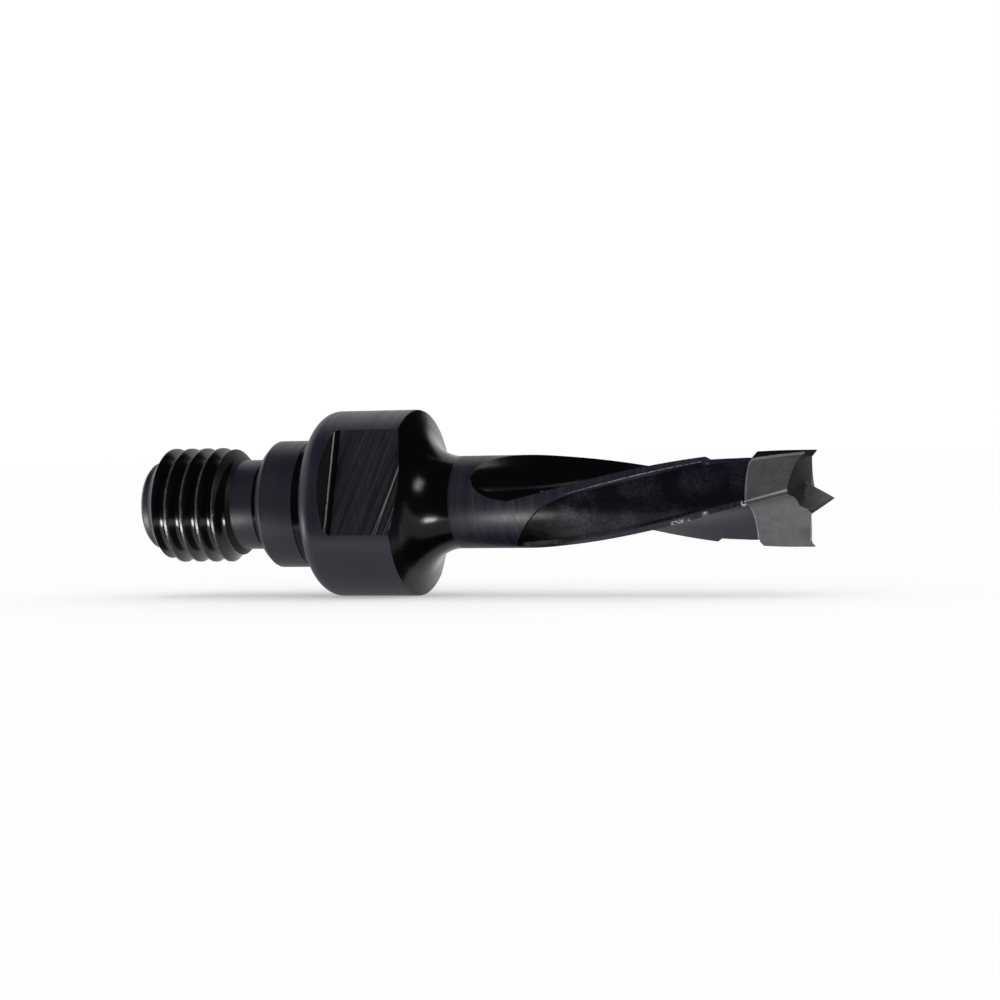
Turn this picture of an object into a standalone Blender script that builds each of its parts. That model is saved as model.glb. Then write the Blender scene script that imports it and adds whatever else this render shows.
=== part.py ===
# Dowel-boring cutter with a threaded shank.
# A turned and fluted steel body carries a carbide cutting head on a thin braze layer.
# The tool lies along X with its tip towards +X, and rests on its round collar.

from math import atan2, ceil, cos, degrees, pi, radians, sin, sqrt, tan

import bmesh
import bpy

MM = 0.001

# Driving dimensions, in millimetres. Axial places count from the collar's seat face.
TOOL_LENGTH = 45.0
FLUTED_LENGTH = 30.6
HEAD_LENGTH = 6.6
CUT_DIAMETER = 8.0
NECK_UNDERCUT = 0.04

THREAD_DIAMETER = 10.0
THREAD_PITCH = 1.5
THREAD_LENGTH = 9.0
THREAD_LEAD_DIAMETER = 7.5
THREAD_LEAD_LENGTH = 0.7
THREAD_LEAD_CHAMFER = 0.3
THREAD_LEAD_SLOPE = 50.0
THREAD_CREST_SHARE = 0.2
THREAD_ROOT_SHARE = 0.2
THREAD_RUN_OUT = 1.5
RELIEF_DIAMETER = 7.8
RELIEF_LENGTH = 2.6
PILOT_DIAMETER = 11.0
PILOT_LENGTH = 4.9
PILOT_CHAMFER = 0.5

COLLAR_DIAMETER = 16.0
COLLAR_LENGTH = 8.4
COLLAR_EDGE_RADIUS = 1.4
FLARE_ANGLE = 73.0
FLARE_FILLET_RADIUS = 3.8
NECK_DRAW_LENGTH = 1.9
WRENCH_SIZE = 13.0
WRENCH_LAND_START = 2.7
WRENCH_WALL_SLOPE = 22.0
WRENCH_ROLL = 17.0

HELIX_ANGLE = 15.0
CORE_DIAMETER = 3.0
FLUTE_ARC = 92.0
FLUTE_WHEEL_RADIUS = 12.8
FLUTE_CENTRE_AT_TIP = 152.5
LEAD_MARGIN_ARC = 12.0
HEEL_MARGIN_ARC = 8.0
MARGIN_STEP_ARC = 2.5
CLEARANCE_DEPTH = 0.3
CLEARANCE_DEPTH_AT_HEAD = 0.5
CLEARANCE_DELAY = 3.4
CLEARANCE_RUN_IN = 5.0
CLEARANCE_SINK = 1.2
CLEARANCE_START_SHARE = 0.25
MARGIN_STOP_BEFORE_HEAD = 3.9
MARGIN_STOP_SLOPE = 0.4

BRAZE_THICKNESS = 0.1
BRAZE_GAP = 0.02
HEAD_BACK_CHAMFER = 0.3
HEAD_MARGIN_ARC = 24.0
HEAD_CLEARANCE_DEPTH = 0.15
HEAD_HEEL_ARC = 3.5
HEAD_HEEL_DEPTH = 0.35
LIP_SETBACK = 2.0
SPUR_HEIGHT = 0.55
SPUR_WIDTH = 0.5
SPUR_ARC = 33.0
POINT_WIDTH = 2.1
POINT_TIP_RADIUS = 0.02
POINT_TURN = 45.0
LIP_RELIEF_ANGLE = 11.0

# How finely round and twisted surfaces are divided.
FLUTE_STEPS = 12
CLEARANCE_STEPS = 10
MARGIN_STEPS = 3
TWIST_STATION = 0.6
ARC_STEP = 9.0
LIP_RING_STEP = 0.7
POINT_RING_STEP = 0.3
SMOOTH_ANGLE = 25.0
MERGE_DISTANCE = 1e-7

# Allowances where one shape cuts or joins another.
THREAD_BLANK_ALLOWANCE = 0.05
RELIEF_OVERLAP = 0.3
RELIEF_PLUG_LENGTH = 1.19
CUTTER_OVERHANG = 1.0

# An ISO thread is this share of its pitch deep.
THREAD_DEPTH_SHARE = 0.5413

# Sizes that follow from the driving ones.
CUT_RADIUS = CUT_DIAMETER / 2
NECK_RADIUS = CUT_RADIUS - NECK_UNDERCUT
COLLAR_RADIUS = COLLAR_DIAMETER / 2
PILOT_RADIUS = PILOT_DIAMETER / 2
RELIEF_RADIUS = RELIEF_DIAMETER / 2
THREAD_RADIUS = THREAD_DIAMETER / 2
THREAD_ROOT_RADIUS = THREAD_RADIUS - THREAD_DEPTH_SHARE * THREAD_PITCH
CORE_RADIUS = CORE_DIAMETER / 2
PILOT_START = -PILOT_LENGTH
RELIEF_START = PILOT_START - RELIEF_LENGTH
SHANK_END = RELIEF_START - THREAD_LENGTH
FLUTE_START = TOOL_LENGTH - FLUTED_LENGTH
HEAD_START = TOOL_LENGTH - HEAD_LENGTH
BRAZE_START = HEAD_START - BRAZE_GAP - BRAZE_THICKNESS
BODY_END = BRAZE_START - BRAZE_GAP
LIP_PLACE = TOOL_LENGTH - LIP_SETBACK
TWIST_PER_MM = 360.0 * tan(radians(HELIX_ANGLE)) / (pi * CUT_DIAMETER)
RING_POINTS = 2 * (FLUTE_STEPS + CLEARANCE_STEPS + 2 * MARGIN_STEPS + 2)
RING_STEP = 360.0 / RING_POINTS
MID_LENGTH = (TOOL_LENGTH + SHANK_END) / 2

# The flare is a cone with a fillet on the neck.
FLARE_SLOPE = radians(FLARE_ANGLE)
FLARE_TANGENT_RADIUS = NECK_RADIUS + FLARE_FILLET_RADIUS * (1 - cos(FLARE_SLOPE))
FLARE_TANGENT = COLLAR_LENGTH + (COLLAR_RADIUS - FLARE_TANGENT_RADIUS) / tan(FLARE_SLOPE)
FLARE_END = FLARE_TANGENT + FLARE_FILLET_RADIUS * sin(FLARE_SLOPE)

# The flute is an arc through both land edges and the core.
HALF_CHORD = CUT_RADIUS * sin(radians(FLUTE_ARC / 2))
CHORD_PLACE = CUT_RADIUS * cos(radians(FLUTE_ARC / 2))
FLUTE_SAG = CHORD_PLACE - CORE_RADIUS
FLUTE_RADIUS = (HALF_CHORD**2 + FLUTE_SAG**2) / (2 * FLUTE_SAG)
FLUTE_CENTRE = CORE_RADIUS + FLUTE_RADIUS
FLUTE_FULL = FLUTE_START + sqrt(2 * FLUTE_WHEEL_RADIUS * (NECK_RADIUS - CORE_RADIUS))


def clear_scene():
    """Removes every object of the startup scene."""
    for obj in list(bpy.data.objects):
        bpy.data.objects.remove(obj, do_unlink=True)


def metal(name, colour, roughness):
    """A plain metallic material."""
    material = bpy.data.materials.new(name)
    material.use_nodes = True
    shader = material.node_tree.nodes["Principled BSDF"]
    shader.inputs["Base Color"].default_value = (*colour, 1.0)
    shader.inputs["Metallic"].default_value = 1.0
    shader.inputs["Roughness"].default_value = roughness
    return material


def place(x, radius, angle):
    """A point of the tool in metres. Angle 0 faces -Y and 90 faces +Z, round the tool's axis."""
    turn = radians(angle)
    return (
        (x - MID_LENGTH) * MM,
        -radius * cos(turn) * MM,
        (COLLAR_RADIUS + radius * sin(turn)) * MM,
    )


def even_ring(x, radius, shift=0.0):
    """One ring of a turned surface, as points, turned by this share of a step."""
    first = flute_angle(FLUTE_START) + RING_STEP * (shift - FLUTE_STEPS / 2)
    return [place(x, radius, first + RING_STEP * i) for i in range(RING_POINTS)]


def loft(name, rings, material):
    """A closed solid skinned over rings of equal count, shaded smooth up to sharp edges."""
    mesh = bpy.data.meshes.new(name)
    build = bmesh.new()
    rows = [[build.verts.new(point) for point in ring] for ring in rings]
    count = len(rows[0])
    for lower, upper in zip(rows, rows[1:]):
        for i in range(count):
            j = (i + 1) % count
            build.faces.new((lower[i], lower[j], upper[j], upper[i]))
    build.faces.new(list(reversed(rows[0])))
    build.faces.new(rows[-1])
    bmesh.ops.remove_doubles(build, verts=build.verts, dist=MERGE_DISTANCE)
    bmesh.ops.recalc_face_normals(build, faces=build.faces)
    build.to_mesh(mesh)
    build.free()
    obj = bpy.data.objects.new(name, mesh)
    bpy.context.scene.collection.objects.link(obj)
    mesh.materials.append(material)
    mesh.shade_smooth()
    mesh.set_sharp_from_angle(angle=radians(SMOOTH_ANGLE))
    return obj


def boolean(obj, tool, operation):
    """Cuts, joins or intersects an object with a hidden tool object."""
    tool.hide_render = True
    tool.display_type = "WIRE"
    change = obj.modifiers.new(tool.name, "BOOLEAN")
    change.operation = operation
    change.object = tool
    change.solver = "EXACT"


def flute_angle(x):
    """Where the first flute's middle lies at x. It rises on the -Y side as x grows."""
    return FLUTE_CENTRE_AT_TIP - TWIST_PER_MM * (TOOL_LENGTH - x)


def flute_lift(x):
    """How far the grinding wheel has lifted out of the flute at x."""
    if x >= FLUTE_FULL:
        return 0.0
    return (FLUTE_FULL - x) ** 2 / (2 * FLUTE_WHEEL_RADIUS)


def flute_half_arc(x, outside):
    """Half the angle that the flute spans on a cylinder of this radius, in degrees."""
    centre = FLUTE_CENTRE + flute_lift(x)
    along = (outside**2 + centre**2 - FLUTE_RADIUS**2) / (2 * outside * centre)
    return degrees(atan2(sqrt(max(0.0, 1 - along**2)), along)) if along < 1 else 0.0


def flute_reach(x, angle, outside):
    """Distance from the axis to the flute's surface, at an angle from the flute's middle."""
    centre = FLUTE_CENTRE + flute_lift(x)
    side = centre * sin(radians(angle))
    if abs(side) >= FLUTE_RADIUS:
        return outside
    return min(outside, centre * cos(radians(angle)) - sqrt(FLUTE_RADIUS**2 - side**2))


def section(x, outside, arcs, depths):
    """The two-fluted section at x, as pairs of radius and angle.

    arcs holds the arcs of the heel, of each step beside the land and of the leading
    margin, and depths how far the heel, the land between and the leading margin lie
    under the outside radius.
    """
    half = flute_half_arc(x, outside)
    middle = flute_angle(x)
    share = min(1.0, (180.0 - 2 * half) / (sum(arcs) + 2 * arcs[1]))
    heel_arc, step, lead_arc = (arc * share for arc in arcs)
    heel, land, lead = (outside - depth for depth in depths)
    points = []
    for side in (0.0, 180.0):
        for i in range(FLUTE_STEPS):
            angle = half * (2.0 * i / FLUTE_STEPS - 1.0)
            limit = lead if angle < 0 else heel
            reach = min(flute_reach(x, angle, outside), limit)
            points.append((reach, middle + side + angle))
        for i in range(MARGIN_STEPS + 1):
            angle = half + heel_arc * i / MARGIN_STEPS
            points.append((heel, middle + side + angle))
        start = half + heel_arc + step
        stop = 180.0 - half - lead_arc - step
        for i in range(CLEARANCE_STEPS + 1):
            angle = start + (stop - start) * i / CLEARANCE_STEPS
            points.append((land, middle + side + angle))
        for i in range(MARGIN_STEPS):
            angle = 180.0 - half - lead_arc * (1 - i / MARGIN_STEPS)
            points.append((lead, middle + side + angle))
    return points


def stations(start, end, longest=TWIST_STATION):
    """Evenly spaced places from start to end, no further apart than longest."""
    count = max(1, ceil((end - start) / longest - 1e-6))
    return [start + (end - start) * i / count for i in range(count + 1)]


def outer_radius(x):
    """Radius of the flare, its fillet and the shaft at x, before the flutes are cut."""
    if x < FLARE_TANGENT:
        return COLLAR_RADIUS - (x - COLLAR_LENGTH) * tan(FLARE_SLOPE)
    if x < FLARE_END:
        rise = sqrt(FLARE_FILLET_RADIUS**2 - (FLARE_END - x) ** 2)
        return NECK_RADIUS + FLARE_FILLET_RADIUS - rise
    return NECK_RADIUS


def run_in(x, length):
    """How far a grinding pass has run in at x, from 0 at its start to 1."""
    left = min(1.0, max(0.0, (FLUTE_START + CLEARANCE_DELAY + length - x) / length))
    return 1.0 - left**2


def body_section(x):
    """The steel body's fluted section, with its margins and the cleared land between them."""
    margin_stop = HEAD_START - MARGIN_STOP_BEFORE_HEAD
    past = max(0.0, x - margin_stop)
    deepened = past / MARGIN_STOP_BEFORE_HEAD * (CLEARANCE_DEPTH_AT_HEAD - CLEARANCE_DEPTH)
    depth = CLEARANCE_DEPTH * run_in(x, CLEARANCE_SINK) + deepened
    lowered = min(1.0, past / MARGIN_STOP_SLOPE) * depth
    # The cleared land starts as a point on the heel's side, where the margins meet.
    outside = outer_radius(x)
    land = 180.0 - 2 * flute_half_arc(x, outside)
    ground = land - 3 * MARGIN_STEP_ARC
    width = run_in(x, CLEARANCE_RUN_IN)
    widest = max(HEEL_MARGIN_ARC, ground * CLEARANCE_START_SHARE)
    heel = widest + (HEEL_MARGIN_ARC - widest) * width
    widest = max(LEAD_MARGIN_ARC, ground * (1.0 - CLEARANCE_START_SHARE))
    lead = widest + (LEAD_MARGIN_ARC - widest) * width
    # Before the land is cleared, the section's points lie evenly on it.
    even = land / (2 * MARGIN_STEPS + CLEARANCE_STEPS + 2)
    settled = min(1.0, (x - FLUTE_START) / CLEARANCE_DELAY)
    spans = zip((MARGIN_STEPS, 1, MARGIN_STEPS), (heel, MARGIN_STEP_ARC, lead))
    arcs = [count * even * (1.0 - settled) + goal * settled for count, goal in spans]
    return section(x, outside, arcs, (lowered, depth, lowered))


def turned_profile():
    """The turned part from under the thread to the collar's front edge: x and radius."""
    points = [
        (RELIEF_START - RELIEF_PLUG_LENGTH, RELIEF_RADIUS),
        (PILOT_START, RELIEF_RADIUS),
        (PILOT_START, PILOT_RADIUS - PILOT_CHAMFER),
        (PILOT_START + PILOT_CHAMFER, PILOT_RADIUS),
        (0.0, PILOT_RADIUS),
    ]
    edge = COLLAR_EDGE_RADIUS
    for angle in stations(0.0, 90.0, 2 * ARC_STEP):
        turn = radians(angle)
        points.append(
            (edge - edge * cos(turn), COLLAR_RADIUS - edge + edge * sin(turn))
        )
    points.append((COLLAR_LENGTH, COLLAR_RADIUS))
    return points


def flare_stations():
    """Places along the flare and the neck, up to the start of the flutes."""
    slopes = stations(0.0, FLARE_SLOPE, radians(ARC_STEP))
    places = [FLARE_END - FLARE_FILLET_RADIUS * sin(slope) for slope in slopes]
    places += stations(FLUTE_START - NECK_DRAW_LENGTH, FLUTE_START, TWIST_STATION / 2)
    return sorted(x for x in places if COLLAR_LENGTH < x < FLUTE_START)


def turned_and_fluted(material):
    """The steel body without its thread and wrench flats."""
    start = body_section(FLUTE_START)
    first = flute_angle(FLUTE_START) - RING_STEP * FLUTE_STEPS / 2
    even = [first + RING_STEP * i for i in range(RING_POINTS)]
    rings = [even_ring(x, radius) for x, radius in turned_profile()]
    # Before the flutes the points draw together towards each flute's pointed start.
    for x in flare_stations():
        share = max(0.0, 1.0 - (FLUTE_START - x) / NECK_DRAW_LENGTH)
        ring = []
        for angle, (_, goal) in zip(even, start):
            angle += share * (goal - angle)
            across = (angle - flute_angle(x) + 90.0) % 180.0 - 90.0
            ring.append(place(x, flute_reach(x, across, outer_radius(x)), angle))
        rings.append(ring)
    margin_stop = HEAD_START - MARGIN_STOP_BEFORE_HEAD
    cleared = FLUTE_START + CLEARANCE_DELAY
    places = stations(FLUTE_START, cleared)
    places += stations(cleared, cleared + CLEARANCE_RUN_IN)[1:]
    places += stations(cleared + CLEARANCE_RUN_IN, margin_stop)[1:]
    places += stations(margin_stop + MARGIN_STOP_SLOPE, BODY_END)
    rings += [[place(x, r, angle) for r, angle in body_section(x)] for x in places]
    return loft("steel_body", rings, material)


def thread_rod(material):
    """A threaded rod, longer than the thread, that its envelope trims."""
    build = bmesh.new()
    crest = THREAD_PITCH * THREAD_CREST_SHARE / 2
    root = THREAD_PITCH * THREAD_ROOT_SHARE / 2
    tooth = (
        (-crest, THREAD_RADIUS),
        (crest, THREAD_RADIUS),
        (THREAD_PITCH / 2 - root, THREAD_ROOT_RADIUS),
        (THREAD_PITCH / 2 + root, THREAD_ROOT_RADIUS),
    )
    turns = ceil(THREAD_LENGTH / THREAD_PITCH) + 3
    start = SHANK_END - 1.5 * THREAD_PITCH
    first = flute_angle(FLUTE_START) - RING_STEP * FLUTE_STEPS / 2
    rows = []
    for k in range(turns):
        for along, radius in tooth:
            row = []
            for j in range(RING_POINTS + 1):
                x = start + along + THREAD_PITCH * (k + j / RING_POINTS)
                row.append(build.verts.new(place(x, radius, first + RING_STEP * j)))
            rows.append(row)
    for lower, upper in zip(rows, rows[1:]):
        for j in range(RING_POINTS):
            build.faces.new((lower[j], lower[j + 1], upper[j + 1], upper[j]))
    bmesh.ops.remove_doubles(build, verts=build.verts, dist=MERGE_DISTANCE)
    open_edges = [edge for edge in build.edges if edge.is_boundary]
    middle = sum((edge.verts[0].co.x for edge in open_edges)) / len(open_edges)
    for is_end in (False, True):
        edges = [e for e in open_edges if (e.verts[0].co.x > middle) == is_end]
        x = sum(edge.verts[0].co.x for edge in edges) / len(edges)
        centre = build.verts.new((x, 0.0, COLLAR_RADIUS * MM))
        for edge in edges:
            build.faces.new((edge.verts[0], edge.verts[1], centre))
    bmesh.ops.recalc_face_normals(build, faces=build.faces)
    mesh = bpy.data.meshes.new("thread_rod")
    build.to_mesh(mesh)
    build.free()
    rod = bpy.data.objects.new("thread_rod", mesh)
    bpy.context.scene.collection.objects.link(rod)
    mesh.materials.append(material)
    return rod


def thread_envelope(material):
    """The turned blank of the thread, with a plain lead and a run-out."""
    outside = THREAD_RADIUS + THREAD_BLANK_ALLOWANCE
    inside = RELIEF_RADIUS - RELIEF_OVERLAP
    lead = THREAD_LEAD_DIAMETER / 2
    lead_end = SHANK_END + THREAD_LEAD_LENGTH
    slope_end = lead_end + (outside - lead) / tan(radians(THREAD_LEAD_SLOPE))
    profile = (
        (SHANK_END, lead - THREAD_LEAD_CHAMFER),
        (SHANK_END + THREAD_LEAD_CHAMFER, lead),
        (lead_end, lead),
        (slope_end, outside),
        (RELIEF_START - THREAD_RUN_OUT, outside),
        (RELIEF_START, inside),
    )
    # Turned by half a step, its edges cross the thread's and the relief's halfway.
    rings = [even_ring(x, radius, 0.5) for x, radius in profile]
    return loft("thread_envelope", rings, material)


def offset_point(x, outwards, sideways, angle):
    """A point out from the axis at this angle, then sideways along the tangent."""
    turn = radians(angle)
    return (
        (x - MID_LENGTH) * MM,
        (sideways * sin(turn) - outwards * cos(turn)) * MM,
        (COLLAR_RADIUS + sideways * cos(turn) + outwards * sin(turn)) * MM,
    )


def wrench_cutter(index, material):
    """Cuts one wrench flat, whose end wall leans back by its slope."""
    flat = WRENCH_SIZE / 2
    top = COLLAR_RADIUS + CUTTER_OVERHANG
    lean = (top - flat) * tan(radians(WRENCH_WALL_SLOPE))
    reach = COLLAR_LENGTH + COLLAR_RADIUS
    outline = (
        (WRENCH_LAND_START, flat),
        (reach, flat),
        (reach, top),
        (WRENCH_LAND_START - lean, top),
    )
    angle = WRENCH_ROLL + 180.0 * index
    rings = [
        [offset_point(x, out, sideways, angle) for x, out in outline]
        for sideways in (-COLLAR_RADIUS, COLLAR_RADIUS)
    ]
    return loft(f"wrench_cutter_{index + 1}", rings, material)


def steel_body(material):
    """The one-piece body: threaded shank, pilot, collar, neck and fluted shaft."""
    body = turned_and_fluted(material)
    rod = thread_rod(material)
    boolean(rod, thread_envelope(material), "INTERSECT")
    boolean(body, rod, "UNION")
    for index in range(2):
        boolean(body, wrench_cutter(index, material), "DIFFERENCE")
    return body


def braze_layer(material):
    """The thin layer of solder between the body and the head."""
    back = body_section(BRAZE_START)
    front = body_section(HEAD_START - BRAZE_GAP)
    rings = [
        [place(BRAZE_START, r, angle) for r, angle in back],
        [place(HEAD_START - BRAZE_GAP, r, angle) for r, angle in front],
    ]
    return loft("braze_layer", rings, material)


def head_section(x):
    """The carbide head's section: full margin at the lip, cleared land and lowered heel."""
    backed = max(0.0, 1.0 - (x - HEAD_START) / HEAD_BACK_CHAMFER) * HEAD_BACK_CHAMFER
    return section(
        x,
        CUT_RADIUS,
        (HEAD_HEEL_ARC, MARGIN_STEP_ARC, HEAD_MARGIN_ARC),
        (HEAD_HEEL_DEPTH, HEAD_CLEARANCE_DEPTH, backed),
    )


def end_height(radius, angle):
    """Where the head's front surface lies, at an angle from a flute's middle."""
    turn = angle % 180.0
    half = flute_half_arc(TOOL_LENGTH, CUT_RADIUS)
    lip = 180.0 - half
    behind = radians(lip - turn) if 1e-6 < turn < lip else 0.0
    height = LIP_PLACE - radius * tan(radians(LIP_RELIEF_ANGLE)) * behind
    outer = (radius - CUT_RADIUS + SPUR_WIDTH) / SPUR_WIDTH
    fade = 1.0 - behind / radians(SPUR_ARC)
    height += SPUR_HEIGHT * max(0.0, min(1.0, outer)) * max(0.0, fade)
    reach = radius * max(
        abs(cos(radians(angle - POINT_TURN))), abs(sin(radians(angle - POINT_TURN)))
    )
    return max(height, TOOL_LENGTH - reach * 2 * LIP_SETBACK / POINT_WIDTH)


def carbide_head(material):
    """The brazed head: twisted section, relieved lips with spurs, and a centre point."""
    rim_start = LIP_PLACE - CUT_RADIUS * tan(radians(LIP_RELIEF_ANGLE)) * pi / 2
    rings = []
    places = [HEAD_START] + stations(HEAD_START + HEAD_BACK_CHAMFER, rim_start)
    for x in places:
        rings.append([place(x, r, angle) for r, angle in head_section(x)])
    tip = head_section(TOOL_LENGTH)
    tip_middle = flute_angle(TOOL_LENGTH)
    for share in (0.5, 1.0):
        ring = []
        for i, (radius, angle) in enumerate(tip):
            goal = end_height(radius, angle - tip_middle)
            x = rim_start + share * (goal - rim_start)
            ring.append(place(x, *head_section(x)[i]))
        rings.append(ring)
    lip_radii = stations(CORE_RADIUS, CUT_RADIUS - SPUR_WIDTH, LIP_RING_STEP)
    point_radii = stations(POINT_TIP_RADIUS, CORE_RADIUS, POINT_RING_STEP)
    for inner in reversed(point_radii[:-1] + lip_radii):
        ring = []
        for i, (radius, angle) in enumerate(tip):
            reach = min(radius, inner)
            x = end_height(reach, angle - tip_middle)
            ring.append(place(x, min(head_section(x)[i][0], inner), head_section(x)[i][1]))
        rings.append(ring)
    return loft("carbide_head", rings, material)


def main():
    clear_scene()
    steel = metal("black_steel", (0.03, 0.03, 0.035), 0.35)
    carbide = metal("ground_carbide", (0.16, 0.17, 0.18), 0.4)
    solder = metal("braze_solder", (0.6, 0.58, 0.5), 0.3)
    steel_body(steel)
    braze_layer(solder)
    carbide_head(carbide)


main()
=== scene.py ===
from math import asin, atan2, ceil, cos, degrees, pi, radians, sin, sqrt, tan

import bmesh
import bpy
from mathutils import Matrix, Vector


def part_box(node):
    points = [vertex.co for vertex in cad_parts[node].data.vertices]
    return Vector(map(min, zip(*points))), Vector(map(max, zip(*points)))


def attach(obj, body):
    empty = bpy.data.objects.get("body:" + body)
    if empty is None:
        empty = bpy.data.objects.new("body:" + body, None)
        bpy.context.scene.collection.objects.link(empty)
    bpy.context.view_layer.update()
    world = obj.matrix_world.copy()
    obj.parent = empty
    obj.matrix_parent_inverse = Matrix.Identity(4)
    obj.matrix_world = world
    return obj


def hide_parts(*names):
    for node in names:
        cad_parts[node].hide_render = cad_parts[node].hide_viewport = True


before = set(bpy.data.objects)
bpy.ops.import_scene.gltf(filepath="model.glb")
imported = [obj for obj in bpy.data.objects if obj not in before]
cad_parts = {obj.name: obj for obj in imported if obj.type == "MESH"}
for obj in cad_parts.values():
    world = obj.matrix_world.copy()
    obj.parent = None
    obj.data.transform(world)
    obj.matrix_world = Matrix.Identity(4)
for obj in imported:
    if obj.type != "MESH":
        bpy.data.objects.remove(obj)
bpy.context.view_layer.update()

MM = 0.001

# The tool's own sizes, in millimetres. Axial places count from the collar's seat face.
TOOL_LENGTH = 45.0
FLUTED_LENGTH = 30.6
HEAD_LENGTH = 6.6
CUT_RADIUS = 4.0
NECK_RADIUS = 3.96
THREAD_RADIUS = 5.0
THREAD_PITCH = 1.5
THREAD_LENGTH = 9.0
THREAD_DEPTH_SHARE = 0.5413
THREAD_LEAD_RADIUS = 3.75
THREAD_LEAD_LENGTH = 0.7
THREAD_LEAD_CHAMFER = 0.3
THREAD_LEAD_SLOPE = 50.0
THREAD_RUN_OUT = 1.5
RELIEF_RADIUS = 3.9
RELIEF_LENGTH = 2.6
PILOT_RADIUS = 5.5
PILOT_LENGTH = 4.9
PILOT_CHAMFER = 0.5
COLLAR_RADIUS = 8.0
COLLAR_LENGTH = 8.4
COLLAR_EDGE_RADIUS = 1.4
FLARE_ANGLE = 73.0
FLARE_FILLET_RADIUS = 3.8
WRENCH_HALF = 6.5
WRENCH_LAND_START = 2.7
WRENCH_WALL_SLOPE = 22.0
WRENCH_ROLL = 17.0
HELIX_ANGLE = 15.0
CORE_RADIUS = 1.5
FLUTE_ARC = 92.0
FLUTE_WHEEL_RADIUS = 12.8
FLUTE_CENTRE_AT_TIP = 152.5
LEAD_MARGIN_ARC = 12.0
HEEL_MARGIN_ARC = 8.0
MARGIN_STEP_ARC = 2.5
CLEARANCE_DEPTH = 0.3
CLEARANCE_DEPTH_AT_HEAD = 0.5
CLEARANCE_DELAY = 3.4
CLEARANCE_RUN_IN = 5.0
CLEARANCE_SINK = 1.2
CLEARANCE_START_SHARE = 0.25
MARGIN_STOP_BEFORE_HEAD = 3.9
MARGIN_STOP_SLOPE = 0.4
BRAZE_THICKNESS = 0.1
BRAZE_GAP = 0.02
HEAD_BACK_CHAMFER = 0.3
HEAD_MARGIN_ARC = 24.0
HEAD_CLEARANCE_DEPTH = 0.15
HEAD_HEEL_ARC = 3.5
HEAD_HEEL_DEPTH = 0.35
LIP_SETBACK = 2.0
SPUR_HEIGHT = 0.55
SPUR_WIDTH = 0.5
SPUR_ARC = 33.0
POINT_WIDTH = 2.1
POINT_TURN = 45.0
LIP_RELIEF_ANGLE = 11.0
SEAT_GROOVE_WIDTH = 1.35
SEAT_GROOVE_DEPTH = 0.06
PILOT_GROOVE_WIDTH = 0.85
PILOT_GROOVE_DEPTH = 0.06
WRENCH_FILLET = 0.7
BEAD_RADIUS = 0.3
BEAD_BEFORE_HEAD = 0.15
BEAD_DEPTH = 0.45
BEAD_ANGLE = -4.0

# Two patches of solder specks: how far before the head, and half the length of each.
SPATTER_BEFORE_HEAD = ((5.4, 0.9), (3.3, 0.3))

# How finely the shown surfaces are divided.
FLUTE_STEPS = 28
CLEARANCE_STEPS = 18
MARGIN_STEPS = 8
TWIST_STATION = 0.2
RELIEF_STATION = 0.4
TURNED_STATION = 0.5
FOOT_STEP = 8.0
THREAD_SPARE_TURNS = 1.5
THREAD_SEGMENTS = 144
ARC_STEP = 4.5
END_RING_STEP = 0.1
END_RING_LEAST = 0.02
RIM_STEPS = 4
THREAD_PROFILE_STEPS = 16
THREAD_CREST_SHARE = 0.125
THREAD_ROOT_SHARE = 0.2
THREAD_SOFTNESS = 0.3
SHARP_ANGLE = 24.0
BEVEL = 0.06
CUTTER_OVERHANG = 1.0
BLANK_ALLOWANCE = 0.05
RELIEF_OVERLAP = 0.3

# Colours, in linear light.
DARK = (0.0056, 0.0042, 0.0205)
# A worn dark tone, also the flutes' painted sheen towards the head.
DARK_WORN_AND_SHEEN = (0.0155, 0.0128, 0.0345)
DARK_CLEARED = (0.0100, 0.0080, 0.0275)
RING_GREY = (0.034, 0.031, 0.045)
MARK_GREY = (0.025, 0.0215, 0.047)
BLACK = (0.003, 0.003, 0.004)
# Painted highlight on the thread's crests; the flats' burr lines share this grey.
CREST_HIGHLIGHT_AND_BURR_GREY = (0.13, 0.13, 0.145)
# Painted highlight on the step up to the leading margin.
STEP_HIGHLIGHT_GREY = (0.60, 0.60, 0.64)
SOLDER_BRIGHT = (0.62, 0.60, 0.55)
SOLDER_DARK = (0.12, 0.12, 0.12)

# The darkest and the lightest grey of each ground surface of the carbide. The head is all one
# ground carbide, so these greys are painted light and shade: the face painted lighter, the
# margin painted almost black, the rim painted bright as a highlight.
FLANK_GREYS = ((0.07, 0.072, 0.078), (0.15, 0.153, 0.165))
FACE_LIT_GREYS = ((0.11, 0.118, 0.125), (0.23, 0.24, 0.25))
END_GREYS = ((0.012, 0.012, 0.012), (0.05, 0.051, 0.048))
MARGIN_SHADE_GREYS = (BLACK, (0.012, 0.012, 0.012))
RIM_HIGHLIGHT_GREYS = ((0.16, 0.16, 0.17), (0.42, 0.42, 0.44))

# Places along the tool where its colour changes, in metres: where the painted shade at the start
# of the cleared land fades out, where the flutes' painted shade turns into a painted sheen, and
# where the flats' grooves begin.
CLEARED_SHADE_FADE = (0.0050, 0.0068)
FLUTE_SHADE_FADE = (0.012, 0.016)
GROOVES = (-0.0115, -0.0085)

# Distances from the axis between which the step's painted highlight turns bright, in metres.
STEP_HIGHLIGHT_REACH = (0.00388, 0.00392)

# The milling marks: their slope, and the levels of the noise that make grooves and burrs.
MILLING_SLOPE = radians(73.0)
GROOVE_LEVEL = 0.470
GROOVE_WIDTH = 0.022
BURR_LEVEL = 0.500
BURR_WIDTH = 0.004

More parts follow.
